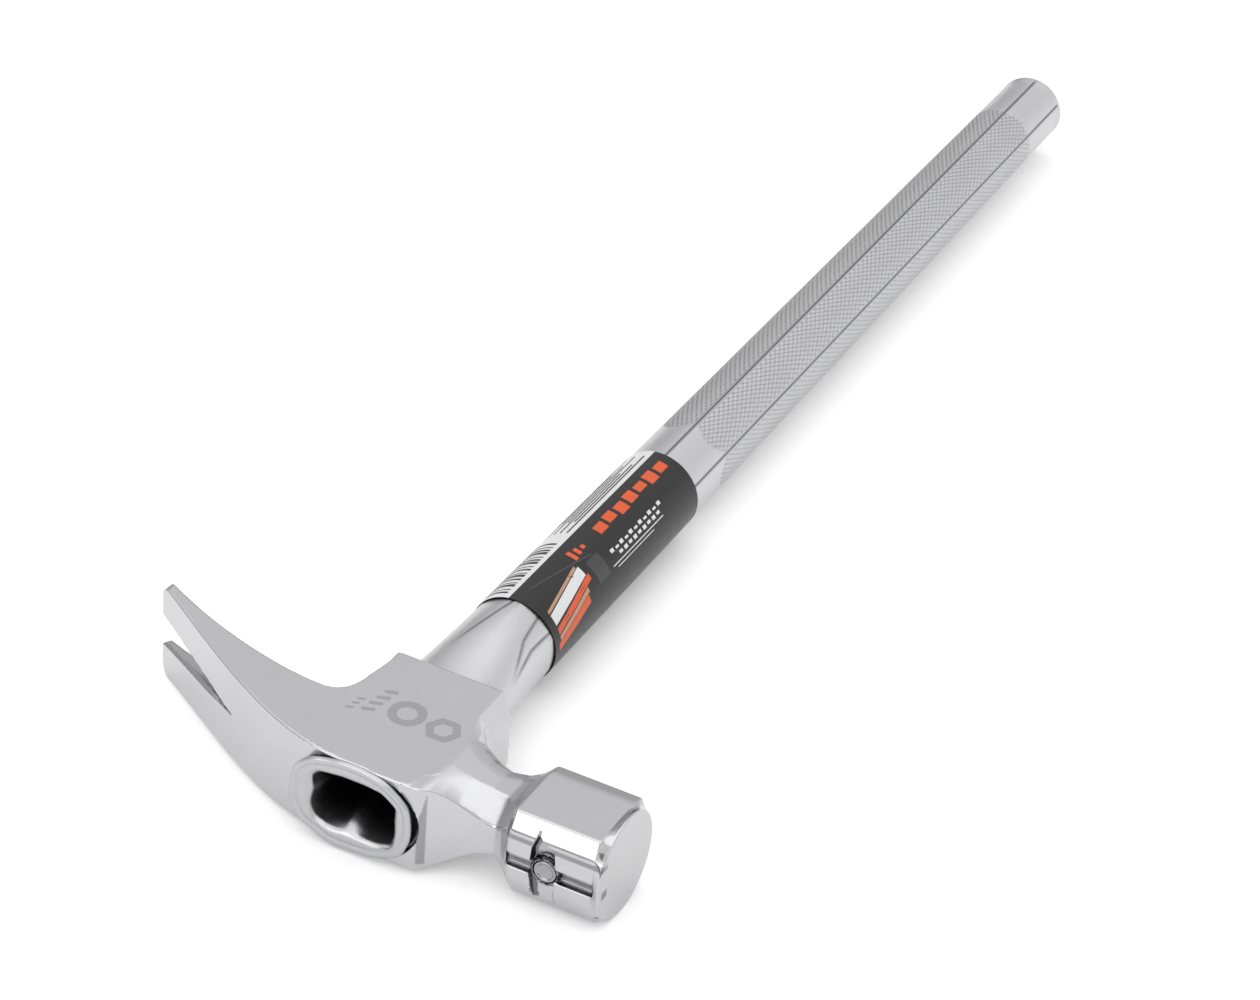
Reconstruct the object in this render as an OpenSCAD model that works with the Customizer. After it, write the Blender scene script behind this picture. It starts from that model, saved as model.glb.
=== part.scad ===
// Straight-claw hammer with a tubular steel handle.
// The handle axis runs along Y, the striking face looks along +X and the cheeks look up and down.
// The hammer lies on its side, and the origin is at the centre of its footprint.

/* [Head] */
// Distance from the handle axis to the striking face
face_x = 66; // [58:1:80]
// Diameter of the round striking face
face_d = 27.8; // [25.5:0.1:32]
// Distance from the handle axis to the tips of the claw
claw_x = 76.6; // [66:0.2:92]
// Thickness of the head from cheek to cheek
cheek_t = 25; // [24:0.1:27]
// Height of the head from its top to the end of the skirt
head_h = 45; // [40:0.5:54]
// Distance from the top of the head to the middle of the poll
poll_y = 15.8; // [15:0.1:18]

/* [Poll] */
// Width across the flats of the eight-sided barrel
barrel_w = 24.6; // [22:0.1:25]
// Length of the barrel from its rear shoulder to the face
barrel_l = 25; // [23:0.1:28]
// Width of each narrow bevel of the barrel, measured along the flat
barrel_bevel = 3.6; // [2.5:0.1:4.5]
// Width across the flats of the neck
neck_w = 19; // [16:0.1:20.5]
// Length of the flare from the flats to the round face
flare_l = 2.6; // [1.5:0.1:4]
// Bevel around the rim of the face
face_bevel = 0.5; // [0.2:0.1:1]

/* [Claw] */
// Length of the nail slot
slot_l = 34; // [28:1:42]
// Width of the nail slot at the tips
slot_w = 7; // [5:0.1:9]
// Thickness of the claw at its tips
tip_t = 2.4; // [1:0.1:3]
// Total widening of the claw from the cheeks to the tips
claw_flare = 2.4; // [0:0.1:2.8]

/* [Nail starter] */
// Diameter of the magnet
magnet_d = 6; // [5:0.1:7]
// Depth of the magnet
magnet_l = 5; // [3:0.1:6]
// Distance of the magnet from the striking face
magnet_back = 15.3; // [13:0.1:17]
// Width of the groove that holds the nail's shank
groove_w = 3.6; // [2.5:0.1:4.5]
// Width of the cross notch that holds the nail's head
notch_w = 5; // [3:0.1:6]
// Depth of the cross notch
notch_d = 1.4; // [0.8:0.1:2]

/* [Handle] */
// Distance from the handle's axis origin, at the poll's middle, to the butt
handle_l = 398; // [330:1:440]
// Diameter of the handle just below the head
neck_d = 24.4; // [23:0.1:25.2]
// Diameter of the handle at the butt
butt_d = 20.6; // [19:0.1:23]
// Wall of the handle tube
tube_wall = 1.8; // [1.4:0.1:2.2]
// Width of the tube where it fills the eye, across the cheeks
eye_z = 20.4; // [18:0.1:20.8]
// Length of the tube where it fills the eye, from face to claw
eye_x = 28.4; // [27:0.1:29]
// Amount by which the tube's end is flared over the head
rim_flare = 2.8; // [1.5:0.1:3]
// Height of the flared rim above the head
rim_h = 1.6; // [0.8:0.1:2.5]
// Radius of the rounded edge at the butt
butt_round = 1.2; // [0.5:0.1:1.3]
// Depth by which the end plug is sunk into the tube
plug_sunk = 1.2; // [0.5:0.1:3]
// Length of the end plug
plug_l = 14; // [8:0.5:24]

/* [Label] */
// Distance from the poll's middle to the label
label_y = 64; // [58:1:90]
// Length of the label along the handle
label_l = 80; // [40:1:100]
// Thickness of the label's film
label_t = 0.2; // [0.1:0.05:0.4]

/* [Hidden] */
$fn = 64;
// Small clearance between pieces that are pressed or wrapped together
fit_gap = 0.05;
// Short overlap that makes cuts run clear through a surface
cut = 1;
// Thickness of the slices that hull() joins
slice = 0.01;
face_r = face_d / 2;
top_y = -poll_y;
skirt_y = head_h - poll_y;
rim_y = top_y - rim_h;
shoulder_x = face_x - barrel_l;
// Front edge of the flat cheek
cheek_x = eye_x / 2 + 0.6;
// Back edge of the flat cheek at the skirt
cheek_back = -eye_x / 2 + 1.3;
// Outer walls of the skirt in front of the eye and behind it
wall_front = eye_x / 2 + 5.2;
wall_back = -eye_x / 2 - 3.4;
// Half width of the skirt's front and back walls
wall_half = cheek_t / 4;
// Place along the handle where the eye's oval has become a round tube
round_y = skirt_y + 31;
// Radius and length of the tube's collar, where the oval becomes round below the skirt
collar_r = eye_x / 2 - tube_wall + 0.6;
collar_l = 1.5;
magnet_x = face_x - magnet_back;
// Width of the claw at its tips
claw_t = cheek_t + claw_flare;
barrel_y = -barrel_w / 2;

// Radius of the round part of the handle at a distance y from the poll's middle
function tube_r(y) = neck_d / 2 + (butt_d - neck_d) / 2 * (y - round_y) / (handle_l - round_y);

// Points of a cubic curve from a to d with the handles b and c
function curve(a, b, c, d, n = 14) = [
    for (i = [0:n])
        let (t = i / n, s = 1 - t)
        s * s * s * a + 3 * s * s * t * b + 3 * s * t * t * c + t * t * t * d
];

// Moves a piece from the hammer's own axes to its place on the surface it lies on
module placed() {
    translate([(claw_x - face_x) / 2, -(rim_y + handle_l) / 2, face_r]) children();
}

// Stretches a flat outline, drawn in X and Z, from y0 to y1
module along_y(y0, y1) {
    translate([0, y1, 0]) rotate([90, 0, 0]) linear_extrude(y1 - y0) children();
}

// Oval with flat sides, drawn in X and Z
module oval(length, width) {
    for (side = [-1, 1]) translate([side * (length - width) / 2, 0]) circle(d = width);
    square([length - width, width], center = true);
}

// Eight-sided slice across X, with flats half wide and bevels cut back by bevel
module octagon(half_y, half_z, bevel) {
    polygon([
        for (q = [0:3])
            let (sy = q < 2 ? 1 : -1, sz = q == 0 || q == 3 ? 1 : -1,
                 flat = [sz * half_z, sy * (half_y - bevel)],
                 rise = [sz * (half_z - bevel), sy * half_y])
            each (q % 2 == 0 ? [flat, rise] : [rise, flat])
    ]);
}

// Solid slice of an octagon at x
module octagon_slice(x, half_y, half_z, bevel) {
    translate([x, 0, 0]) rotate([0, 90, 0]) mirror([1, 0, 0])
        linear_extrude(slice) octagon(half_y, half_z, bevel);
}

// Side view of the claw, the cheeks and the skirt
module side_outline() {
    tip_y = 22;
    polygon(concat(
        curve([-claw_x, tip_y - tip_t], [-claw_x * 0.67, 4.6], [-28, top_y + 1.6], [-4, top_y + 0.4]),
        [[cheek_x - 1, top_y], [cheek_x, top_y + 1], [cheek_x, skirt_y], [cheek_back, skirt_y]],
        curve([cheek_back - 2.2, 17], [cheek_back - 2.4, 12], [cheek_back - 4.6, 7.2], [cheek_back - 10.6, 7.5], 8),
        curve([-42, 10.4], [-52, 12.5], [-64, 17.4], [-claw_x, tip_y], 8)
    ));
}

// Widening of the claw towards its tips, seen from above
module claw_plan() {
    half = cheek_t / 2;
    polygon([
        [-claw_x - cut, -half - claw_flare / 2], [-eye_x, -half], [face_x, -half],
        [face_x, half], [-eye_x, half], [-claw_x - cut, half + claw_flare / 2]
    ]);
}

// Straight nail slot between the two points of the claw, seen from above
module slot_plan() {
    polygon([
        [-claw_x - cut, -slot_w / 2], [-claw_x + slot_l, -0.6],
        [-claw_x + slot_l, 0.6], [-claw_x - cut, slot_w / 2]
    ]);
}

// Bevelled wall of the skirt, from the edge of the cheeks at x0 to the wall at x1
module skirt_wall(x0, x1, y0, y1) {
    hull() {
        translate([x0, y0, -cheek_t / 2]) cube([slice, y1 - y0, cheek_t]);
        translate([x1, y0 + 1, -wall_half]) cube([slice, y1 - y0 - 2, 2 * wall_half]);
    }
}

// Neck: eight-sided slices that shrink from the cheeks and grow again to the barrel
module neck() {
    stations = [
        [cheek_x - 2, 13.4, cheek_t / 2, 5],
        [22, 10.2, 11.2, 5.2],
        [31, neck_w / 2, neck_w / 2, neck_w * 0.27],
        [shoulder_x - 4, neck_w / 2 + 0.3, neck_w / 2 + 0.3, neck_w * 0.25],
        [shoulder_x, barrel_w / 2, barrel_w / 2, barrel_bevel]
    ];
    for (i = [0:len(stations) - 2]) {
        a = stations[i];
        b = stations[i + 1];
        hull() {
            octagon_slice(a[0], a[1], a[2], a[3]);
            octagon_slice(b[0], b[1], b[2], b[3]);
        }
    }
}

// Barrel with its flare and the round striking face
module barrel() {
    flat_end = face_x - flare_l - face_bevel;
    translate([shoulder_x, 0, 0]) rotate([0, 90, 0]) mirror([1, 0, 0])
        linear_extrude(flat_end - shoulder_x) octagon(barrel_w / 2, barrel_w / 2, barrel_bevel);
    hull() {
        octagon_slice(flat_end - slice, barrel_w / 2, barrel_w / 2, barrel_bevel);
        translate([flat_end + flare_l - 1, 0, 0]) rotate([0, 90, 0]) cylinder(r = face_r, h = slice);
    }
    translate([flat_end + flare_l - 1, 0, 0]) rotate([0, 90, 0]) cylinder(r = face_r, h = 1);
    translate([face_x - face_bevel, 0, 0]) rotate([0, 90, 0])
        cylinder(r1 = face_r, r2 = face_r - face_bevel, h = face_bevel);
}

// Groove, cross notch and magnet hole in the top of the barrel
module nail_starter_cuts() {
    groove_l = face_x - magnet_x - flare_l;
    translate([magnet_x, barrel_y - cut, -groove_w / 2]) cube([groove_l, cut + notch_d * 0.8, groove_w]);
    translate([magnet_x - notch_w / 2, barrel_y - cut, -barrel_w / 2 + barrel_bevel / 2])
        cube([notch_w, cut + notch_d, barrel_w - barrel_bevel]);
    translate([magnet_x, barrel_y - cut, 0]) rotate([-90, 0, 0])
        cylinder(d = magnet_d + 2 * fit_gap, h = cut + notch_d + magnet_l + fit_gap);
}

// Head: one forging with the eye right through it
module head() {
    placed() color("silver") difference() {
        union() {
            intersection() {
                translate([0, 0, -claw_t / 2]) linear_extrude(claw_t) side_outline();
                along_y(rim_y, skirt_y + cut) claw_plan();
            }
            skirt_wall(cheek_x - slice, wall_front, -9, skirt_y);
            skirt_wall(cheek_back, wall_back, 11, skirt_y);
            neck();
            barrel();
        }
        along_y(top_y - cut, skirt_y + cut) oval(eye_x + 2 * fit_gap, eye_z + 2 * fit_gap);
        along_y(top_y - cut, skirt_y + cut) slot_plan();
        nail_starter_cuts();
    }
}

// Handle tube: oval in the eye, flared over the head's top, round below it
module handle_tube() {
    wall_bore = tube_r(handle_l) - tube_wall;
    placed() color("lightgray") difference() {
        union() {
            along_y(rim_y, top_y) oval(eye_x + 2 * rim_flare, eye_z + 2 * rim_flare);
            along_y(top_y, skirt_y) oval(eye_x, eye_z);
            rotate([-90, 0, 0]) rotate_extrude() polygon(concat(
                [[0, skirt_y], [collar_r, skirt_y], [tube_r(round_y), round_y],
                 [tube_r(handle_l), handle_l - butt_round]],
                [for (a = [15:15:90])
                    [tube_r(handle_l) - butt_round * (1 - cos(a)), handle_l - butt_round * (1 - sin(a))]],
                [[0, handle_l]]
            ));
        }
        along_y(rim_y - cut, skirt_y + collar_l) oval(eye_x - 2 * tube_wall, eye_z - 2 * tube_wall);
        rotate([-90, 0, 0]) rotate_extrude() polygon([
            [0, skirt_y + collar_l], [tube_r(round_y) - tube_wall, skirt_y + collar_l],
            [tube_r(round_y) - tube_wall, round_y], [wall_bore, handle_l - plug_sunk - plug_l],
            [wall_bore, handle_l + cut], [0, handle_l + cut]
        ]);
    }
}

// Round magnet pressed into the top of the barrel
module nail_magnet() {
    placed() color("dimgray") translate([magnet_x, barrel_y + notch_d, 0]) rotate([-90, 0, 0])
        cylinder(d = magnet_d, h = magnet_l);
}

// Plug that closes the butt end of the tube
module end_plug() {
    placed() color("gray") translate([0, handle_l - plug_sunk - plug_l, 0]) rotate([-90, 0, 0])
        cylinder(r = tube_r(handle_l) - tube_wall - fit_gap, h = plug_l);
}

// Printed film wrapped around the handle below the head
module wrap_label() {
    label_end = label_y + label_l;
    placed() color("black") rotate([-90, 0, 0]) rotate_extrude() polygon([
        [tube_r(label_y) + fit_gap, label_y], [tube_r(label_y) + fit_gap + label_t, label_y],
        [tube_r(label_end) + fit_gap + label_t, label_end], [tube_r(label_end) + fit_gap, label_end]
    ]);
}

head();
handle_tube();
nail_magnet();
end_plug();
wrap_label();
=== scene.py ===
"""Visual model of a straight-claw hammer with a tubular steel handle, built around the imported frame.

Shapes are worked out in the hammer's own axes, in millimetres: x towards the striking face,
y along the handle towards the butt, z out of the upper cheek, with y = 0 at the middle of the poll.
"""
import math

import bpy
import numpy as np
from mathutils import Matrix, Vector


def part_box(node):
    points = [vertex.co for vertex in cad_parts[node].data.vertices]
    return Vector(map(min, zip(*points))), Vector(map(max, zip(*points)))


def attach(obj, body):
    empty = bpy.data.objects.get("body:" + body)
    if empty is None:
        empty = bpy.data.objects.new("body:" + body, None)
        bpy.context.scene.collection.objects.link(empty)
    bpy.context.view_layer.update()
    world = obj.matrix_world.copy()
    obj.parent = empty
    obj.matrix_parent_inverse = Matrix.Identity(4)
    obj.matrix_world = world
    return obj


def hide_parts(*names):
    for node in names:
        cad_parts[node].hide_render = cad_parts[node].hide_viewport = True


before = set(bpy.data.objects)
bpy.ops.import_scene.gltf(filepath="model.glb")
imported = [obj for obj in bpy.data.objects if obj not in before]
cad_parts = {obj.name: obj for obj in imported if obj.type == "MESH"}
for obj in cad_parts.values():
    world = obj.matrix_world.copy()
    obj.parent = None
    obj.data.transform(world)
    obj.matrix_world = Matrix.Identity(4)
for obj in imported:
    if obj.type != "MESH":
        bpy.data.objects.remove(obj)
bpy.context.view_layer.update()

MM = 0.001
label_low, label_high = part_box("wrap_label")
tube_low, tube_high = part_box("handle_tube")
head_low, head_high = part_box("head")
RIM_Y = -17.4
AXES = np.array([(label_low.x + label_high.x) / 2, tube_low.y - RIM_Y * MM, (label_low.z + label_high.z) / 2])
FACE_X = (head_high.x - AXES[0]) / MM
CLAW_X = (AXES[0] - head_low.x) / MM
FACE_R = (head_high.z - head_low.z) / 2 / MM
SKIRT_Y = (head_high.y - AXES[1]) / MM
BUTT_Y = (tube_high.y - AXES[1]) / MM
LABEL_Y0 = (label_low.y - AXES[1]) / MM
LABEL_Y1 = (label_high.y - AXES[1]) / MM
TOP_Y = -15.8
CHEEK = 12.5
SLOT_END = 42.6
MAGNET_X = FACE_X - 15.3
STARTER_Z = -0.7
BARREL_HALF = 12.3


# ---------------------------------------------------------------- camera, light and floor

def make_camera():
    azimuth, elevation, roll = (math.radians(a) for a in (24.84, 34.435, 4.889))
    back = Vector((math.sin(azimuth) * math.cos(elevation),
                   -math.cos(azimuth) * math.cos(elevation), math.sin(elevation)))
    level = Vector((0, 0, 1)).cross(back).normalized()
    upright = back.cross(level)
    right = level * math.cos(roll) + upright * math.sin(roll)
    up = back.cross(right)
    place = Vector(AXES) + Vector((0.38699, -0.69988, 0.63183))
    data = bpy.data.cameras.new("camera")
    data.sensor_width = 36
    data.lens = 119.8
    data.shift_x = -0.01186
    data.shift_y = 0.00254
    data.clip_start = 0.05
    data.clip_end = 50
    camera = bpy.data.objects.new("camera", data)
    turn = Matrix((right, up, back)).transposed().to_4x4()
    camera.matrix_world = Matrix.Translation(place) @ turn
    bpy.context.scene.collection.objects.link(camera)
    bpy.context.scene.camera = camera


def add_light(name, place, aim, size, power):
    data = bpy.data.lights.new(name, "AREA")
    data.shape = "RECTANGLE"
    data.size, data.size_y = size
    data.energy = power
    light = bpy.data.objects.new(name, data)
    light.location = place
    light.rotation_euler = (Vector(aim) - Vector(place)).to_track_quat("-Z", "Y").to_euler()
    bpy.context.scene.collection.objects.link(light)


def set_stops(ramp, stops):
    """Fills a colour ramp, which starts with two stops, with places and grey tones or colours."""
    for i, (at, tone) in enumerate(stops):
        stop = ramp.color_ramp.elements[i] if i < 2 else ramp.color_ramp.elements.new(at)
        stop.position = at
        stop.color = (*(tone if isinstance(tone, tuple) else (tone,) * 3), 1)


def make_studio():
    scene = bpy.context.scene
    scene.view_settings.view_transform = "Standard"
    world = bpy.data.worlds.new("studio")
    scene.world = world
    world.use_nodes = True
    nodes, links = world.node_tree.nodes, world.node_tree.links
    nodes.clear()
    out = nodes.new("ShaderNodeOutputWorld")
    sky = nodes.new("ShaderNodeBackground")
    place = nodes.new("ShaderNodeTexCoord")
    split = nodes.new("ShaderNodeSeparateXYZ")
    ramp = nodes.new("ShaderNodeValToRGB")
    links.new(place.outputs["Generated"], split.inputs[0])
    links.new(split.outputs["Z"], ramp.inputs[0])
    # Pale walls, brighter overhead; half strength in the ramp, doubled by the background.
    set_stops(ramp, [(0.0, 0.48), (0.5, 0.47), (0.72, 0.5), (0.84, 0.85), (1.0, 0.85)])
    # A dark strip stands low on the side that the head's top looks at.
    band = nodes.new("ShaderNodeValToRGB")
    links.new(split.outputs["Z"], band.inputs[0])
    set_stops(band, [(0.0, 1.0), (0.14, 1.0), (0.2, 0.0)])
    side = nodes.new("ShaderNodeMapRange")
    side.inputs["From Min"].default_value = -0.1
    side.inputs["From Max"].default_value = -0.4
    links.new(split.outputs["Y"], side.inputs["Value"])
    share = nodes.new("ShaderNodeMath")
    share.operation = "MULTIPLY"
    links.new(band.outputs[0], share.inputs[0])
    links.new(side.outputs[0], share.inputs[1])
    dark = nodes.new("ShaderNodeMix")
    dark.data_type = "RGBA"
    dark.inputs[7].default_value = (0.05, 0.05, 0.05, 1)
    links.new(share.outputs[0], dark.inputs[0])
    # The walls are darker on the claw's side and lighter on the face's side.
    wall = nodes.new("ShaderNodeMapRange")
    for key, value in (("From Min", -0.5), ("From Max", 0.6), ("To Min", 0.5), ("To Max", 1.3)):
        wall.inputs[key].default_value = value
    links.new(split.outputs["X"], wall.inputs["Value"])
    low = nodes.new("ShaderNodeMapRange")
    for key, value in (("From Min", 0.2), ("From Max", 0.5), ("To Min", 1.0), ("To Max", 0.0)):
        low.inputs[key].default_value = value
    links.new(split.outputs["Z"], low.inputs["Value"])
    blend = nodes.new("ShaderNodeMix")
    blend.inputs[2].default_value = 1.0
    links.new(low.outputs[0], blend.inputs[0])
    links.new(wall.outputs[0], blend.inputs[3])
    toned = nodes.new("ShaderNodeVectorMath")
    toned.operation = "SCALE"
    links.new(ramp.outputs[0], toned.inputs[0])
    links.new(blend.outputs[0], toned.inputs["Scale"])
    links.new(toned.outputs[0], dark.inputs[6])
    links.new(dark.outputs[2], sky.inputs["Color"])
    sky.inputs["Strength"].default_value = 2.0
    links.new(sky.outputs[0], out.inputs["Surface"])
    add_light("front_softbox", (-0.5, -1.5, 0.6), (0, -0.15, 0), (1.3, 0.74), 6.2)


def make_floor():
    half = 3.0
    mesh = bpy.data.meshes.new("floor")
    corners = [(-half, -half, 0), (half, -half, 0), (half, half, 0), (-half, half, 0)]
    mesh.from_pydata(corners, [], [(0, 1, 2, 3)])
    floor = bpy.data.objects.new("floor", mesh)
    material = bpy.data.materials.new("floor_white")
    material.use_nodes = True
    shader = material.node_tree.nodes["Principled BSDF"]
    shader.inputs["Base Color"].default_value = (0.85, 0.85, 0.85, 1)
    shader.inputs["Roughness"].default_value = 0.9
    shader.inputs["Specular IOR Level"].default_value = 0.0
    shader.inputs["Emission Color"].default_value = (1, 1, 1, 1)
    shader.inputs["Emission Strength"].default_value = 0.18
    mesh.materials.append(material)
    bpy.context.scene.collection.objects.link(floor)


# ---------------------------------------------------------------- materials

# Near black that painted shade pulls the steel towards, in bores, hollows and grooves.
PAINTED_SHADE_STEEL = (0.1, 0.1, 0.105)


class Nodes:
    """A material's node tree, with short calls for the nodes that it needs."""

    def __init__(self, name):
        self.material = bpy.data.materials.new(name)
        self.material.use_nodes = True
        self.tree = self.material.node_tree
        self.shader = self.tree.nodes["Principled BSDF"]
        self.place = self.tree.nodes.new("ShaderNodeTexCoord").outputs["Object"]

    def put(self, kind, **values):
        node = self.tree.nodes.new(kind)
        for key, value in values.items():
            setattr(node, key, value)
        return node

    def link(self, source, target):
        self.tree.links.new(source, target)

    def scaled(self, scale, turn=(0, 0, 0)):
        node = self.put("ShaderNodeMapping")
        node.inputs["Scale"].default_value = scale
        node.inputs["Rotation"].default_value = turn
        self.link(self.place, node.inputs[0])
        return node.outputs[0]

    def noise(self, coordinates, scale, detail=4.0, rough=0.55):
        node = self.put("ShaderNodeTexNoise")
        node.inputs["Scale"].default_value = scale
        node.inputs["Detail"].default_value = detail
        node.inputs["Roughness"].default_value = rough
        self.link(coordinates, node.inputs["Vector"])
        return node.outputs[0]

    def ramp(self, value, stops):
        node = self.put("ShaderNodeValToRGB")
        set_stops(node, stops)
        self.link(value, node.inputs[0])
        return node.outputs[0]

    def mix(self, share, low, high):
        node = self.put("ShaderNodeMix", data_type="RGBA")
        for socket, value in ((node.inputs[0], share), (node.inputs[6], low), (node.inputs[7], high)):
            if isinstance(value, bpy.types.NodeSocket):
                self.link(value, socket)
            elif socket is node.inputs[0]:
                socket.default_value = value
            else:
                socket.default_value = (*value, 1)
        return node.outputs[2]

    def attribute(self, name):
        return self.put("ShaderNodeAttribute", attribute_name=name).outputs["Fac"]

    def bump(self, height, strength, distance):
        node = self.put("ShaderNodeBump")
        node.inputs["Strength"].default_value = strength
        node.inputs["Distance"].default_value = distance
        self.link(height, node.inputs["Height"])
        self.link(node.outputs[0], self.shader.inputs["Normal"])

    def set(self, **values):
        for key, value in values.items():
            self.shader.inputs[key.replace("_", " ")].default_value = value


def steel(name, tone, low_rough, high_rough, grain, turn=(0, 0, 0), dark=None):
    """Ground steel: streaks along the grain, cloudy tone and fine scratches.

    Dark names the mesh attribute that says how much painted shade darkens the steel, as in bores and creases.
    """
    n = Nodes(name)
    n.set(Metallic=1.0)
    streaks = n.noise(n.scaled(grain, turn), 1.0, 6.0, 0.65)
    clouds = n.noise(n.place, 55.0, 3.0)
    crossing = (turn[0], turn[1], turn[2] + 0.35)
    scratches = n.noise(n.scaled(tuple(g * 2.3 for g in grain), crossing), 1.0, 2.0)
    base = n.ramp(clouds, [(0.3, tuple(c * 0.96 for c in tone)), (0.7, tone)])
    base = n.mix(n.ramp(streaks, [(0.35, 0.0), (0.7, 0.3)]), base, tuple(c * 0.88 for c in tone))
    base = n.mix(n.ramp(scratches, [(0.66, 0.0), (0.72, 0.2)]), base, tuple(min(1, c * 1.15) for c in tone))
    # Painted shade: the attribute mixes the steel towards a near black.
    if dark:
        base = n.mix(n.attribute(dark), base, PAINTED_SHADE_STEEL)
    n.link(base, n.shader.inputs["Base Color"])
    n.link(n.ramp(streaks, [(0.25, low_rough), (0.75, high_rough)]), n.shader.inputs["Roughness"])
    n.bump(streaks, 0.03, 0.0002)
    return n.material


def plastic(name, colour, rough, speckle=0.06):
    """Moulded or printed plastic with a faint mottle and a fine skin texture."""
    n = Nodes(name)
    mottle = n.noise(n.place, 420.0, 5.0)
    low = tuple(max(0.0, c * (1 - speckle)) for c in colour)
    n.link(n.ramp(mottle, [(0.3, low), (0.7, colour)]), n.shader.inputs["Base Color"])
    n.link(n.ramp(mottle, [(0.2, rough * 0.85), (0.8, min(1.0, rough * 1.15))]), n.shader.inputs["Roughness"])
    n.bump(mottle, 0.05, 0.0002)
    n.set(Specular_IOR_Level=0.35)
    return n.material


# ---------------------------------------------------------------- mesh helpers

def add_piece(name, points, faces, material, node=None, normals=None, smooth=True):
    """Makes a piece from points in millimetres on the hammer's axes and fixes it to the frame."""
    mesh = bpy.data.meshes.new(name)
    points = np.asarray(points, float) * MM + AXES
    mesh.from_pydata(points.tolist(), [], [list(f) for f in faces])
    mesh.polygons.foreach_set("use_smooth", [smooth] * len(mesh.polygons))
    mesh.materials.append(material)
    mesh.validate()
    if normals is not None:
        mesh.normals_split_custom_set_from_vertices(normals.tolist())
    mesh.update()
    piece = bpy.data.objects.new(name, mesh)
    bpy.context.scene.collection.objects.link(piece)
    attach(piece, "root")
    if node:
        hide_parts(node)
    return piece


def add_attribute(piece, name, values):
    attribute = piece.data.attributes.new(name, "FLOAT", "POINT")
    attribute.data.foreach_set("value", np.asarray(values, np.float32))


def grid_faces(rows, columns, closed):
    """Quads between rows of points; closed joins the last column to the first."""
    i = np.arange(rows - 1)[:, None]
    j = np.arange(columns if closed else columns - 1)[None, :]
    k = (j + 1) % columns
    quads = np.stack([i * columns + j, i * columns + k, (i + 1) * columns + k, (i + 1) * columns + j], -1)
    return quads.reshape(-1, 4).tolist()


def smooth_step(value, low, high):
    t = np.clip((value - low) / (high - low), 0, 1)
    return t * t * (3 - 2 * t)


# ---------------------------------------------------------------- solid shapes by distance

def round_max(a, b, r):
    """Distance to what two shapes share, with the edge between them rounded to radius r."""
    outside = np.hypot(np.maximum(a + r, 0), np.maximum(b + r, 0))
    return np.minimum(-r, np.maximum(a, b)) + outside


def round_min(a, b, r):
    """Distance to two shapes joined, with the corner between them filled to radius r."""
    inside = np.hypot(np.maximum(r - a, 0), np.maximum(r - b, 0))
    return np.maximum(r, np.minimum(a, b)) - inside


def bezier(a, b, c, d, count):
    t = np.linspace(0, 1, count)[:, None]
    a, b, c, d = (np.array(p, float) for p in (a, b, c, d))
    return (1 - t) ** 3 * a + 3 * (1 - t) ** 2 * t * b + 3 * (1 - t) * t ** 2 * c + t ** 3 * d


def polygon_distance(x, y, corners):
    """Signed distance in the plane to a closed outline, below zero inside it."""
    x, y = np.broadcast_arrays(x, y)
    nearest = np.full(x.shape, 1e18)
    inside = np.zeros(x.shape, bool)
    for (x0, y0), (x1, y1) in zip(corners, np.roll(corners, -1, axis=0)):
        dx, dy = x1 - x0, y1 - y0
        length = dx * dx + dy * dy
        if length < 1e-12:
            continue
        t = np.clip(((x - x0) * dx + (y - y0) * dy) / length, 0, 1)
        nearest = np.minimum(nearest, (x - x0 - t * dx) ** 2 + (y - y0 - t * dy) ** 2)
        if dy:
            crosses = ((y0 > y) != (y1 > y)) & (x < x0 + (y - y0) * dx / dy)
            inside ^= crosses
    return np.where(inside, -1, 1) * np.sqrt(nearest)


def side_outline():
    """Side view of the claw, the cheeks and the skirt."""
    back = -12.9
    return np.concatenate([
        bezier((-CLAW_X, 19.7), (-CLAW_X * 0.67, 4.5), (-28, TOP_Y + 1.6), (-4, TOP_Y + 0.3), 28),
        [(6, TOP_Y), (13, TOP_Y), (13, SKIRT_Y - 0.5), (back, SKIRT_Y)],
        bezier((back - 2.2, 17), (back - 2.5, 12), (back - 4.6, 7.2), (back - 10.6, 7.5), 10),
        bezier((-23.5, 7.5), (-40, 7.6), (-60, 14.9), (-CLAW_X + 1.6, 21.9), 20)[1:],
    ])


OUTLINE = side_outline()

# Sections of the poll at distances x: half height in z; half depth towards the top, and the two ends of
# the bevel there (a on the cheek's flat, b on the top flat). Underneath, a gentle bevel runs from a to c
# before the steep one to b.
STATIONS = np.array([
    # x, half z, top, top a, top b, under, under a, under c, under b
    (4.0, 12.5, 15.8, 15.6, 12.4, 17.0, 16.0, 16.5, 12.2),
    (15.0, 12.5, 15.8, 15.6, 12.4, 16.5, 13.5, 15.5, 11.8),
    (17.9, 12.5, 15.6, 10.5, 12.3, 15.0, 8.2, 12.0, 10.0),
    (19.7, 12.45, 13.9, 5.8, 11.9, 13.4, 6.4, 9.6, 9.0),
    (22.5, 11.7, 12.2, 4.4, 10.5, 11.6, 5.0, 7.8, 8.5),
    (26.0, 10.6, 10.7, 3.4, 8.3, 10.4, 3.6, 6.8, 7.4),
    (31.0, 9.6, 9.6, 2.7, 5.5, 9.8, 3.0, 6.8, 5.6),
    (35.5, 9.5, 9.3, 3.0, 4.0, 9.8, 4.4, 8.2, 5.0),
    (38.0, 10.3, 10.3, 5.5, 5.2, 10.9, 5.6, 9.8, 6.4),
    (40.8, 12.3, 12.3, 9.4, 7.2, 12.3, 7.7, 12.1, 8.6),
    (66.5, 12.3, 12.3, 9.4, 7.2, 12.3, 7.7, 12.1, 8.6),
])
FINE_X = np.linspace(0, 70, 701)


def soften(values, sigma=0.5):
    """Rounds the kinks of a profile along x."""
    reach = np.arange(-30, 31) * 0.1
    kernel = np.exp(-0.5 * (reach / sigma) ** 2)
    padded = np.pad(values, 30, mode="edge")
    return np.convolve(padded, kernel / kernel.sum(), "valid")


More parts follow.
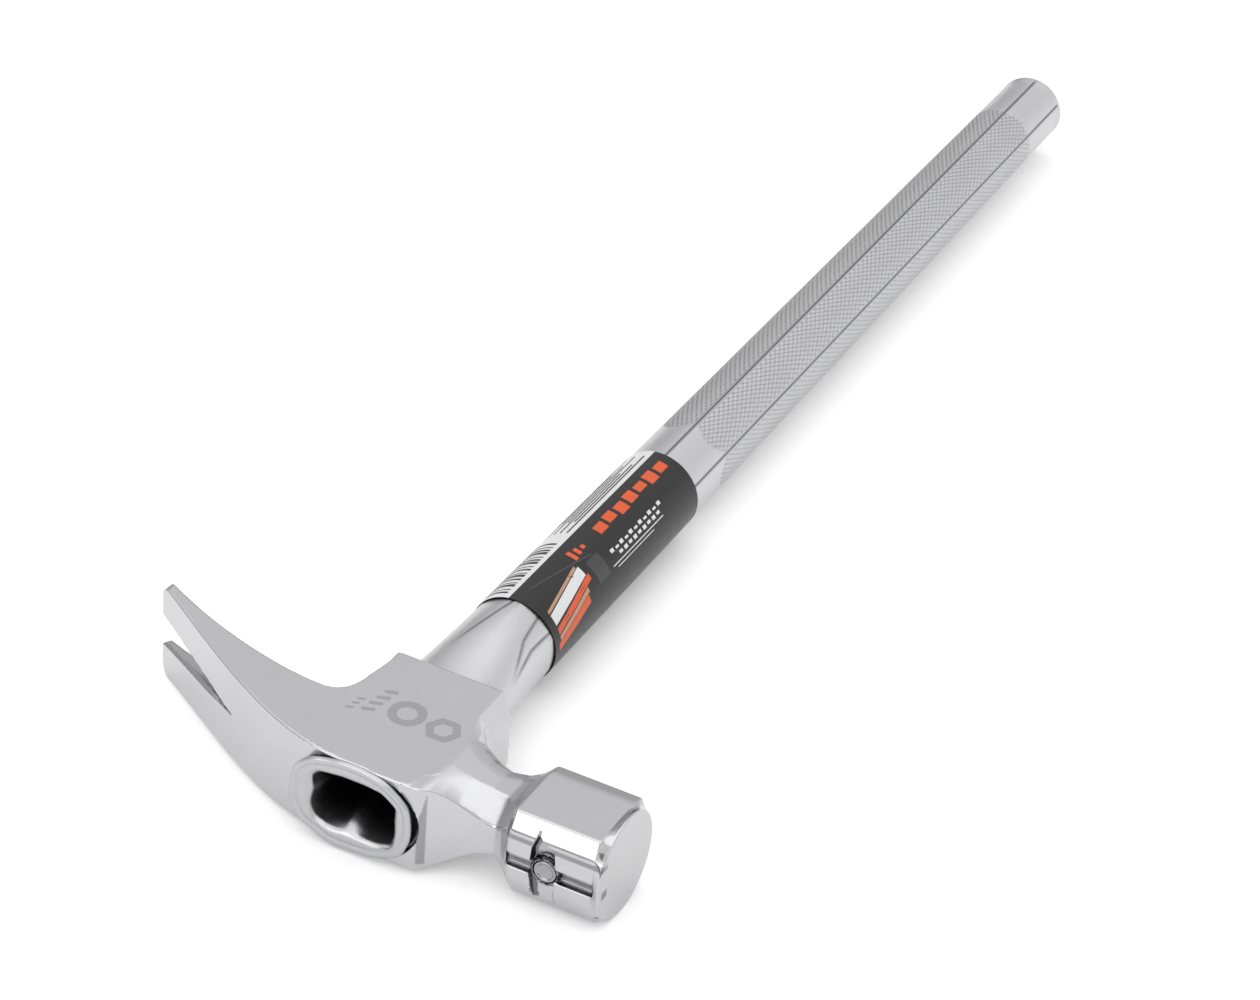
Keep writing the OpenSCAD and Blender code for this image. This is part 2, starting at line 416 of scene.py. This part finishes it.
PROFILES = [soften(np.interp(FINE_X, STATIONS[:, 0], STATIONS[:, i]), 0.35) for i in range(1, 9)]


def bevel_distance(rise, height, depth, half, near, far):
    """Distance beyond the bevel from (near, half) to (depth, far), in one quarter of a section."""
    run, drop = depth - near, half - far
    length = np.hypot(run, drop)
    return ((rise - near) * drop + (height - half) * run) / length


def poll_distance(x, y, z):
    """Neck and barrel: eight-sided sections that end in the round face."""
    half, top, top_a, top_b, under, under_a, under_c, under_b = (np.interp(x, FINE_X, p) for p in PROFILES)
    height = np.abs(z)
    gentle = math.radians(15)
    slope = math.tan(gentle)
    bevel_top = bevel_distance(-y, height, top, half, top_a, top_b)
    bevel_gentle = (height - half + (y - under_a) * slope) * math.cos(gentle)
    bevel_steep = bevel_distance(y, height, under, half - (under_c - under_a) * slope, under_c, under_b)
    upper = round_max(-y - top, bevel_top, np.interp(x, (20, 40), (0.3, 0.7)))
    lower = round_max(round_max(y - under, bevel_steep, 0.8), bevel_gentle, 0.3)
    section = round_max(round_max(upper, lower, 0.3), height - half, 0.3)
    disc = np.hypot(y, z) - FACE_R
    share = np.clip((x - (FACE_X - 2.6)) / 2.1, 0, 1)
    loft = section * (1 - share) + disc * share
    return round_max(round_max(loft, x - FACE_X, 0.4), 4 - x, 0.1)


def skirt_distance(x, y, z):
    """Skirt: cheeks joined to its front and back walls by wide bevels."""
    height = np.abs(z)
    front = round_max(x - 20.0, ((x - 15.7) * 6.3 + (height - CHEEK) * 4.3) / 7.628, 0.8)
    back = round_max(-x - 17.2, ((-x - 13.6) * 6.3 + (height - CHEEK) * 3.6) / 7.256, 0.5)
    walls = round_max(round_max(front, back, 0.3), height - CHEEK, 0.3)
    ends = round_max(y - SKIRT_Y, -7 - y, 0.2)
    # The lower front corner is swept away in a curve.
    corner = np.hypot(np.maximum(x - 15.5, 0), np.maximum(y - (SKIRT_Y - 4.5), 0)) - 4.5
    return round_max(round_max(walls, ends, 0.35), corner, 0.35)


def oval_distance(x, z, half_length, half_width):
    return np.hypot(np.maximum(np.abs(x) - (half_length - half_width), 0), z) - half_width


def eye_distance(x, z):
    """Distance to the wall of the eye, seen along the handle."""
    return oval_distance(x, z, 14.3, 10.3)


def recess_distance(x, z):
    """Distance to the wall of the shallow recess around the eye, where the tube's rim sits."""
    return oval_distance(x - 0.7, z, 17.4, 11.3)


def notch_left(z):
    """Claw side of the cross notch, from the magnet's middle."""
    return np.interp(z, (-10, -2, 5, 8.6), (-2.9, -4.3, -3.7, -2.4))


def notch_right(z):
    """Face side of the cross notch, from the magnet's middle."""
    return np.interp(z, (-10, 0.5, 6.2, 8.6), (2.4, 2.9, 2.3, -2.2))


def starter_distance(x, y, z):
    """Hollows of the nail starter in the top flat of the barrel: groove, cross notch and magnet seat."""
    depth = y + BARREL_HALF
    across = x - MAGNET_X
    groove = round_max(np.abs(z - STARTER_Z) - 1.9, depth - 1.9, 1.3)
    groove = round_max(groove, x - (FACE_X - 2.2), 1.2)
    groove = round_max(groove, 40.0 - x, 0.8)
    notch = np.maximum(notch_left(z) - across, across - notch_right(z)) * 0.95
    notch = round_max(notch, depth - 2.0, 0.7)
    notch = round_max(notch, (z - 8.8) * 0.9, 0.2)
    seat = round_max(np.hypot(across, z - STARTER_Z) - 3.2, depth - 3.0, 0.2)
    lip = np.maximum(np.abs(np.hypot(across, z - STARTER_Z) - 3.5) - 0.35, 0.25 - depth)
    return round_max(np.minimum(np.minimum(groove, notch), seat), -lip, 0.2)


def head_distance(x, y, z):
    """The whole forging."""
    height = np.abs(z)
    half = CHEEK + np.interp(-x, (18, 40, 62, CLAW_X), (0, 0.35, 0.6, 1.3))
    side = polygon_distance(x, y, OUTLINE)
    block = round_max(side, height - half, 0.5)
    # The outer corners of the claw's tips are rounded.
    tip = np.hypot(np.minimum(x + CLAW_X - 3, 0), np.maximum(height - 10.6, 0)) - 3
    block = np.maximum(block, np.where((x < 3 - CLAW_X) & (height > 10.6), tip, -5))
    skirt = skirt_distance(x, y, z)
    poll = poll_distance(x, y, z)
    body = round_min(skirt, poll, 3.2)
    body = round_min(body, block, 0.3)
    body = np.maximum(body, height - np.where(x < 40, half, 20))
    recess = np.maximum(recess_distance(x, z), y - (TOP_Y + 1.7))
    body = round_max(body, -np.minimum(eye_distance(x, z), recess), 0.25)
    # Nail slot: a narrow tail that opens into a wide mouth, with bevelled edges.
    slot_half = np.interp(-x, (SLOT_END, 54.5, CLAW_X), (0.0, 1.3, 3.9))
    bevel = np.clip(side + 0.9, 0, 0.9) * np.clip((-46 - x) / 8, 0, 1)
    body = round_max(body, -np.maximum(height - slot_half - bevel * 0.8, x + SLOT_END), 0.15)
    return round_max(body, -starter_distance(x, y, z), 0.25)


def mesh_from_distance(distance, low, high, step):
    """Closed mesh of a shape given by its distance: one point in each grid cell that its surface crosses."""
    axes = [np.arange(a, b + step, step) for a, b in zip(low, high)]
    field = distance(axes[0][:, None, None], axes[1][None, :, None], axes[2][None, None, :])
    field = np.where(np.abs(field) < 1e-9, 1e-9, field)
    inside = field < 0
    shape = np.array(field.shape) - 1
    total = np.zeros((*shape, 3))
    count = np.zeros(shape)
    corners = [np.array(c) for c in np.ndindex(2, 2, 2)]
    for axis in range(3):
        for corner in corners:
            if corner[axis]:
                continue
            end = corner.copy()
            end[axis] = 1
            a = field[tuple(slice(c, c + s) for c, s in zip(corner, shape))]
            b = field[tuple(slice(c, c + s) for c, s in zip(end, shape))]
            crossing = (a < 0) != (b < 0)
            t = np.where(crossing, a / np.where(crossing, a - b, 1), 0)
            for k in range(3):
                total[..., k] += np.where(crossing, corner[k] + (t if k == axis else 0), 0)
            count += crossing
    active = count > 0
    number = np.full(shape, -1)
    number[active] = np.arange(active.sum())
    cells = np.argwhere(active)
    points = np.array([a[0] for a in axes]) + (cells + total[active] / count[active][:, None]) * step
    faces = []
    for axis in range(3):
        u, v = (axis + 1) % 3, (axis + 2) % 3
        crop = [slice(1, -1)] * 3
        crop[axis] = slice(0, -1)
        ahead = [slice(1, -1)] * 3
        ahead[axis] = slice(1, None)
        here, there = inside[tuple(crop)], inside[tuple(ahead)]
        start = np.argwhere(here != there)
        offset = np.ones(3, int)
        offset[axis] = 0
        start = start + offset
        flip = here[here != there]
        du, dv = np.eye(3, dtype=int)[u], np.eye(3, dtype=int)[v]
        ring = [number[tuple((start - s * du - t * dv).T)] for s, t in ((0, 0), (1, 0), (1, 1), (0, 1))]
        quads = np.stack(ring, -1)
        quads[~flip] = quads[~flip][:, ::-1]
        faces.append(quads)
    faces = np.concatenate(faces)
    nudge = 0.02
    for _ in range(3):
        value = distance(*points.T)
        slope = gradient(distance, points, nudge)
        size = np.maximum((slope ** 2).sum(1), 0.05)
        points -= np.clip(value / size, -step * 0.4, step * 0.4)[:, None] * slope
    slope = gradient(distance, points, nudge)
    return points, faces, slope / np.linalg.norm(slope, axis=1)[:, None]


def gradient(distance, points, nudge):
    columns = []
    for axis in range(3):
        offset = np.zeros(3)
        offset[axis] = nudge
        columns.append((distance(*(points + offset).T) - distance(*(points - offset).T)) / (2 * nudge))
    return np.stack(columns, -1)


def head_shade(points, normals):
    """How much painted shade darkens each point of the forging: the bores, the hollows, a narrow facet, a
    line under the bevel, the slot's walls and the face.
    """
    x, y, z = points.T
    inside_eye = (eye_distance(x, z) < 0.6) & (y > TOP_Y + 1)
    recess = (recess_distance(x, z) < 0.25) & (y > TOP_Y + 0.4) & (y < TOP_Y + 4)
    depth = y + BARREL_HALF
    hollow = (depth > 0.2) & (depth < 3) & (np.abs(z) < 10) & (x > 40)
    walls = hollow & (np.abs(normals[:, 1]) < 0.8) & (x < FACE_X - 1)
    # Painted shade: the notch is darkest along its claw side, and the groove along its lower side.
    across, low = x - MAGNET_X, z - STARTER_Z
    beside_magnet = hollow & (np.hypot(across, low) < 5) & ~walls
    notch = hollow & (across > notch_left(z) - 0.3) & (across < notch_right(z) + 0.3)
    notch_side = notch & (across < notch_left(z) + 1.1)
    groove = hollow & ~notch & (low > -2.0) & (low < 0.3)
    # Painted shade on a narrow facet beside the eye, and a painted dark line under the barrel's bright bevel.
    facet = (x > 17.8 + 0.2 * np.maximum(z - 2, 0)) & (x < 19.6) & (y < -12.5) & (z > -10.5) & (z < 11.6)
    corner = (x > 40.2) & (y < -10) & (z > 5.9) & (z < 7.2) & ~notch
    # Painted shade on the slot's walls and a little over the whole face.
    slot = (x < -43) & (np.abs(z) < 5) & (np.abs(normals[:, 2]) > 0.6)
    face = x > FACE_X - 0.1
    areas = [(inside_eye | walls | recess, 0.85), (beside_magnet, 0.5), (facet, 0.5), (notch_side, 0.85),
             (notch & (z > 2.5), 0.3), (groove, 0.75), (corner, 0.6), (slot, 0.3), (face, 0.12)]
    return np.clip(sum(tone * area for area, tone in areas), 0, 0.85)


def make_head():
    step = 0.45
    low = (-CLAW_X - 1, -17, -FACE_R - 1)
    high = (FACE_X + 1, SKIRT_Y + 1, FACE_R + 1)
    points, faces, normals = mesh_from_distance(head_distance, low, high, step)
    # The shade attribute paints shade into the forging's bores, hollows and a few lines.
    forged = steel("forged_steel", (0.52, 0.52, 0.53), 0.15, 0.24, (260, 1500, 900), (0, 0, 0.3), "shade")
    piece = add_piece("head_forging", points, faces, forged, "head", normals)
    add_attribute(piece, "shade", head_shade(points, normals))


# ---------------------------------------------------------------- handle tube

AROUND = 288
PANEL = math.radians(60)
FIRST_CREASE = math.radians(5)
ROUND_Y = 60.0
KNURL_Y0, KNURL_Y1 = 158.5, 374.0
KNURL_DEPTH = 0.28
# Curved folds on the upper side of the handle: places along it, and the degrees towards the face there.
FOLDS = (
    ((40, 48, 63, 70), (-31, -22, -5, 2)),
    ((39, 43.7, 54, 64, 72), (66, 58, 40.6, 35, 33)),
    ((38, 41.6, 48.5, 54, 64), (69, 65, 60, 56, 59)),
)


def tube_radius(y):
    """Radius over the creases of the round part of the handle."""
    return 12.2 + (10.3 - 12.2) * (y - ROUND_Y) / (BUTT_Y - ROUND_Y)


def panel_angle(angle):
    """Angle from the middle of the nearest of the six panels."""
    return (angle - FIRST_CREASE) % PANEL - PANEL / 2


def knurl_depth(angle, y, radius):
    """Two families of crossing grooves, on each panel between the creases."""
    off = panel_angle(angle)
    across = off * radius / 1.55
    along = y / 2.9
    peaks = np.abs(np.sin(np.pi * (across + along)) * np.sin(np.pi * (across - along))) ** 0.7
    bow = 5.0 * (off / (PANEL / 2)) ** 2
    mask = smooth_step(y, KNURL_Y0 + bow, KNURL_Y0 + bow + 1.2)
    mask = mask * (1 - smooth_step(y, KNURL_Y1 - bow * 0.4 - 1.2, KNURL_Y1 - bow * 0.4))
    mask = mask * smooth_step(PANEL / 2 - np.abs(off), 0.035, 0.085)
    return KNURL_DEPTH * mask * (1 - peaks)


def crease_depth(angle, radius):
    """Sharp shallow groove along each edge between two panels."""
    away = (PANEL / 2 - np.abs(panel_angle(angle))) * radius
    return 0.2 * np.exp(-(away / 0.4) ** 2)


def fold_depth(angle, y, radius):
    """Folds below the head, where the tube is pressed from six panels to an oval, alike above and below."""
    depth = 0.0
    for stations, degrees in FOLDS:
        fold = np.radians(np.interp(y, stations, degrees))
        for side in (fold, math.pi - fold):
            away = (angle - side + math.pi) % (2 * math.pi) - math.pi
            depth = depth + np.exp(-(away * radius / 0.45) ** 2)
    return 0.16 * depth * smooth_step(y, 40, 50) * (1 - smooth_step(y, 62, 68))


def tube_point(angle, y):
    """Outer surface of the tube below the head, and how much painted shade darkens its grooves."""
    radius = tube_radius(np.maximum(y, ROUND_Y - 10))
    off = panel_angle(angle)
    # The panels are slightly flat, and fade out towards the head.
    flat = 1 - 0.32 * (1 - math.cos(PANEL / 2) / np.cos(off)) * smooth_step(y, 40, 75)
    knurl = knurl_depth(angle, y, radius)
    crease = crease_depth(angle, radius) * smooth_step(y, 60, 68) + fold_depth(angle, y, radius)
    reach = radius * flat - 0.05 - knurl - crease
    # Oval where the tube runs into the eye.
    share = 1 - smooth_step(y, SKIRT_Y - 2, 62)
    x = np.sin(angle) * (reach + (14.15 - reach) * share)
    z = np.cos(angle) * (reach + (10.15 - reach) * share)
    # Painted shade in the creases, folds and knurl grooves.
    return x, z, np.clip(crease * 5.0 + 0.6 * (knurl / KNURL_DEPTH) ** 2, 0, 1)


def make_handle():
    angle = np.arange(AROUND) * 2 * math.pi / AROUND
    rings, shade = [], []

    def add_ring(x, y, z, tone=0.0):
        rings.append(np.stack([np.broadcast_to(v, angle.shape) for v in (x, y, z)], -1))
        shade.append(np.broadcast_to(tone, angle.shape))

    def add_oval(y, grow, bump=0.0, tone=0.0):
        """Ring of the flared end; bump presses its wall inwards at the middle of each side."""
        half_x, half_z = 14.2 + grow, 10.2 + grow
        # Round outside, and nearer to a long eight-sided hole inside.
        power = 2 / (2.4 + 1.6 * smooth_step(-grow, 0.0, 1.7))
        sine, cosine = np.sin(angle), np.cos(angle)
        shift = 0.8 * smooth_step(-grow, 0.4, 1.7)
        x = shift + (half_x - 0.5 * shift) * np.sign(sine) * np.abs(sine) ** power
        z = half_z * np.sign(cosine) * np.abs(cosine) ** power
        under = np.exp(-np.abs(x + 0.3) / 2.0) * (cosine < 0)
        ends = np.exp(-((z - 1.0) / 1.8) ** 2) * (np.abs(sine) > 0.5)
        z = z + bump * 4.2 * under
        x = x - bump * 1.5 * ends * np.sign(sine)
        # The flare is beaten a little unevenly.
        wave = 0.16 * np.sin(angle * 6 + 0.7) + 0.1 * np.sin(angle * 11 + 2.0)
        lifted = smooth_step(-y, 14.5, 16.5)
        rise = 0.5 * np.minimum(wave, 0) * -lifted
        add_ring(x + wave * lifted * sine, y + rise, z + wave * lifted * cosine, tone)

    # Butt end: the inner wall beside the plug, darkened by painted shade, and the rounded edge.
    butt_r = tube_radius(BUTT_Y) - 0.05
    edge = 1.5
    for back, inset, tone in ((13, 1.8, 0.3), (1.4, 1.8, 0.3), (0.5, 1.75, 0.2), (0.1, 1.6, 0)):
        add_ring((butt_r - inset) * np.sin(angle), BUTT_Y - back, (butt_r - inset) * np.cos(angle), tone)
    for turn in np.radians((90, 72, 54, 36, 18, 0)):
        r = butt_r - edge * (1 - math.cos(turn))
        add_ring(r * np.sin(angle), BUTT_Y - edge * (1 - math.sin(turn)), r * np.cos(angle))
    plain = np.arange(BUTT_Y - 3, KNURL_Y1, -2.0)
    fine = np.arange(KNURL_Y1, KNURL_Y0, -0.42)
    middle = np.arange(KNURL_Y0, 70, -2.0)
    near = np.arange(70, SKIRT_Y - 3, -0.8)
    for y in np.concatenate([plain, fine, middle, near]):
        x, z, tone = tube_point(angle, y)
        add_ring(x, y, z, tone)
    # Up through the eye, then the flare over the head's top: distance along and growth of the oval.
    flare = ((20, -0.1), (0, -0.1), (-13.5, -0.1), (-15.0, 0.5), (-15.7, 1.5), (-15.85, 2.4),
             (-16.2, 2.7), (-16.7, 2.75), (-17.15, 2.5), (-17.35, 1.9), (-17.3, 1.2), (-17.05, 0.9),
             (-17.0, 0.6), (-17.2, 0.2), (-17.3, -0.4), (-17.2, -1.1), (-16.9, -1.7))
    for y, grow in flare:
        add_oval(y, grow, 0.0, 0.18)
    # The mouth of the bore, pressed inwards, with painted shade that deepens as it goes down.
    mouth = ((-16.4, 0.12, 0.0), (-15.6, 0.3, 0.05), (-14.6, 0.6, 0.15), (-13.2, 0.85, 0.4), (-11, 1.0, 0.7),
             (-8, 1.0, 0.95), (-3, 1.0, 1.0), (3, 0.8, 1.0), (10, 0.4, 1.0), (18, 0.0, 1.0))
    for y, bump, tone in mouth:
        add_oval(y, -2.1, bump, tone)
    # The bore's inner wall, fully darkened by painted shade.
    for y in (26, 40, 60, 120, 240, BUTT_Y - 13):
        radius = min(tube_radius(max(y, ROUND_Y)), butt_r) - 1.85
        share = 1 - smooth_step(np.array(float(y)), SKIRT_Y - 4, 58)
        add_ring((radius + (12 - radius) * share) * np.sin(angle), y,
                 (radius + (8 - radius) * share) * np.cos(angle), 1.0)
    rings.append(rings[0])
    points = np.concatenate(rings[:-1])
    faces = np.array(grid_faces(len(rings), AROUND, True)) % len(points)
    # The crease attribute holds painted shade in the creases, folds, knurl grooves and bore, and also draws
    # the flare a little darker.
    plated = steel("plated_tube", (0.56, 0.56, 0.57), 0.3, 0.44, (2400, 160, 2400), dark="crease")
    piece = add_piece("handle_body", points, faces[:, ::-1], plated, "handle_tube")
    add_attribute(piece, "crease", np.concatenate(shade))


# ---------------------------------------------------------------- small pieces

def lathe(name, profile, centre, direction, material, node, sides=96):
    """Turned piece: profile is radius and distance along direction from centre, from axis to axis."""
    direction = np.array(direction, float)
    side = np.cross(direction, (0.0, 0.0, 1.0) if abs(direction[2]) < 0.9 else (1.0, 0.0, 0.0))
    side /= np.linalg.norm(side)
    other = np.cross(direction, side)
    angle = np.arange(sides) * 2 * math.pi / sides
    circle = np.cos(angle)[:, None] * side + np.sin(angle)[:, None] * other
    points = np.concatenate([np.array(centre) + r * circle + d * direction for r, d in profile])
    faces = grid_faces(len(profile), sides, True)
    faces.append(list(range(sides))[::-1])
    faces.append([(len(profile) - 1) * sides + k for k in range(sides)])
    return add_piece(name, points, faces, material, node)


def thin_plate(outline, x, y):
    """Closed plate on the upper cheek from its outline, 0.02 mm proud."""
    count = len(outline)
    points = [(x + px, y + py, z) for z in (CHEEK - 0.05, CHEEK + 0.02) for px, py in outline]
    faces = [list(range(count))[::-1], [count + k for k in range(count)]]
    faces += [[k, (k + 1) % count, count + (k + 1) % count, count + k] for k in range(count)]
    return points, faces


def make_cheek_mark():
    """Etched mark on the cheek: a plain ring, a hexagon and a few bars."""
    etched = steel("etched_steel", (0.36, 0.36, 0.37), 0.34, 0.46, (900, 900, 900))
    points, faces = [], []

    def add(plate):
        faces.extend([[k + len(points) for k in face] for face in plate[1]])
        points.extend(plate[0])

    def ring(x, y, sides):
        inner, outer = 2.6, 4.9
        angles = np.radians(np.linspace(0, 360, sides + 1))
        for a, b in zip(angles, angles[1:]):
            turns = ((inner, a), (outer, a), (outer, b), (inner, b))
            add(thin_plate([(r * math.cos(t), r * math.sin(t)) for r, t in turns], x, y))

    def bar(x, y, length, width, turn):
        c, s = math.cos(math.radians(turn)), math.sin(math.radians(turn))
        corners = [(length / 2 * i, width / 2 * j) for i, j in ((-1, -1), (1, -1), (1, 1), (-1, 1))]
        add(thin_plate([(px * c - py * s, px * s + py * c) for px, py in corners], x, y))

    ring(0.8, 8.4, 36)
    ring(11.4, 7.4, 6)
    for i in range(4):
        bar(-8.2 + 0.5 * i, 5.0 + 2.9 * i, 3.4, 1.2, 20)
    for i in range(3):
        bar(-12.4 + 0.4 * i, 3.2 + 2.2 * i, 2.0, 0.8, 20)
    add_piece("cheek_mark", points, faces, etched, smooth=False)


def make_magnet():
    steel_grey = steel("magnet_plating", (0.34, 0.34, 0.345), 0.2, 0.4, (900, 900, 900))
    profile = [(3.0, 4.9), (3.0, 0.3), (2.85, 0.05), (2.6, 0.0), (2.3, 0.05), (2.15, 0.35), (1.9, 0.45),
               (0.3, 0.45)]
    centre = (MAGNET_X, -BARREL_HALF + 0.3, STARTER_Z)
    lathe("magnet_disc", profile, centre, (0, 1, 0), steel_grey, "nail_magnet", 64)


def make_plug():
    black = plastic("plug_plastic", (0.03, 0.03, 0.032), 0.5)
    radius = tube_radius(BUTT_Y) - 1.9
    profile = [(radius, -13), (radius, -1.6), (radius - 0.4, -1.25), (radius - 1.6, -1.2),
               (radius - 2.0, -1.5), (radius - 2.3, -1.6), (0.4, -1.6)]
    lathe("butt_plug", profile, (0, BUTT_Y, 0), (0, 1, 0), black, "end_plug", 96)


def label_radius(y):
    """Outer radius of the film, just clear of the creases under it."""
    return tube_radius(y) + 0.1


def wrapped(y0, y1, a0, a1, lift, slant=0.0):
    """Closed thin patch wrapped on the label, from a0 to a1 degrees round from the upper cheek.

    Slant is how far, in degrees, its far end is turned round the handle.
    """
    columns = max(2, int(abs(a1 - a0) / 3) + 1)
    rows = max(2, int(abs(y1 - y0) / 8) + 1)
    points = []
    for rise in (lift, lift + 0.03):
        for y in np.linspace(y0, y1, rows):
            for a in np.radians(np.linspace(a0, a1, columns) + slant * (y - y0) / (y1 - y0)):
                r = label_radius(y) + rise
                points.append((r * math.sin(a), y, r * math.cos(a)))
    size = rows * columns
    top = [[k + size for k in f] for f in grid_faces(rows, columns, False)]
    bottom = [f[::-1] for f in grid_faces(rows, columns, False)]
    rim = ([(0, c) for c in range(columns)] + [(r, columns - 1) for r in range(1, rows)]
           + [(rows - 1, c) for c in range(columns - 2, -1, -1)] + [(r, 0) for r in range(rows - 2, 0, -1)])
    rim = [r * columns + c for r, c in rim]
    walls = [[a, b, b + size, a + size] for a, b in zip(rim, rim[1:] + rim[:1])]
    return points, bottom + top + walls


def add_patches(name, patches, material, lift=0.02):
    """Printed patches, each given by its two ends from the label's start, its two angles and any slant."""
    points, faces = [], []
    for start, stop, a0, a1, *slant in patches:
        patch_points, patch_faces = wrapped(LABEL_Y0 + start, LABEL_Y0 + stop, a0, a1, lift, *slant)
        faces += [[k + len(points) for k in face] for face in patch_faces]
        points += patch_points
    add_piece(name, points, faces, material, smooth=False)


def make_film(material):
    """The label's own film, which everything is printed on."""
    inner = -0.06
    angle = np.arange(AROUND) * 2 * math.pi / AROUND
    outline = [(LABEL_Y0, inner), (LABEL_Y0, 0.0)]
    outline += [(y, 0.0) for y in np.linspace(LABEL_Y0 + 0.1, LABEL_Y1 - 0.1, 24)]
    outline += [(LABEL_Y1, 0.0), (LABEL_Y1, inner), ((LABEL_Y0 + LABEL_Y1) / 2, inner)]
    rings = []
    for y, grow in outline:
        r = label_radius(y) + grow
        rings.append(np.stack([r * np.sin(angle), np.full(AROUND, y), r * np.cos(angle)], -1))
    points = np.concatenate(rings)
    faces = np.array(grid_faces(len(rings) + 1, AROUND, True)) % len(points)
    add_piece("label_film", points, faces, material, "wrap_label")


def make_label():
    """Black film with a white panel of bars and lines, orange blocks, rows of dashes and slanted stripes."""
    black = plastic("label_black", (0.012, 0.012, 0.013), 0.35, 0.1)
    white = plastic("label_white", (0.62, 0.62, 0.62), 0.4, 0.05)
    orange = plastic("label_orange", (0.62, 0.085, 0.018), 0.4, 0.1)
    grey = plastic("label_grey", (0.045, 0.045, 0.047), 0.4, 0.1)
    tan = plastic("label_tan", (0.42, 0.24, 0.15), 0.4, 0.1)
    make_film(black)
    add_patches("label_white_panel", [(0.02, LABEL_Y1 - LABEL_Y0 - 0.02, -150, -10)], white, 0.0)
    widths = (2, 1, 3, 1, 2, 3, 1, 2, 1, 3, 2, 1, 3, 2, 1, 2)
    bars = [(2 + 1.7 * i, 2 + 1.7 * i + 0.38 * wide, -58, -17) for i, wide in enumerate(widths)]
    lines = [(34 + 6 * (i % 2), 77 - 5 * (i % 3), -17 - 5 * i, -19.2 - 5 * i) for i in range(12)]
    add_patches("label_bars", bars + lines, black, 0.05)
    blocks = [(33 + 5.6 * i, 37.2 + 5.6 * i, 3 + 2 * (i % 2), 21 - 2 * (i % 3)) for i in range(1, 8)]
    add_patches("label_blocks", blocks, orange)
    short_bars = [(24.5 + 2.6 * i, 26 + 2.6 * i, 4 + 3 * i, 20 - 2 * i) for i in range(3)]
    add_patches("label_bars_orange", short_bars, orange)
    dashes = [(36 + 2.6 * i, 37.6 + 2.6 * i, 40 + 2 * (i % 2), 45) for i in range(11)]
    dashes += [(39 + 2.6 * i, 40.6 + 2.6 * i, 49, 53 + (i % 2)) for i in range(9)]
    dashes += [(34, 62, 58, 59.4), (36, 56, 63, 64.2)]
    add_patches("label_strips", dashes, white)
    add_patches("label_swash_orange", [(3, 24, 62, 70, -22), (2, 20, 80, 90, -20)], orange)
    add_patches("label_swash_white", [(3, 23, 44, 58, -18)], white)
    add_patches("label_swash_tan", [(3, 21, 72, 78, -20), (3, 22, 38, 42, -16)], tan)
    add_patches("label_swash_grey", [(6, 30, 2, 4, 24), (18, 40, 26, 30, 22), (26, 32, 30, 62)], grey)


# ---------------------------------------------------------------- the scene

make_camera()
make_studio()
make_floor()
make_head()
make_cheek_mark()
make_handle()
make_magnet()
make_plug()
make_label()
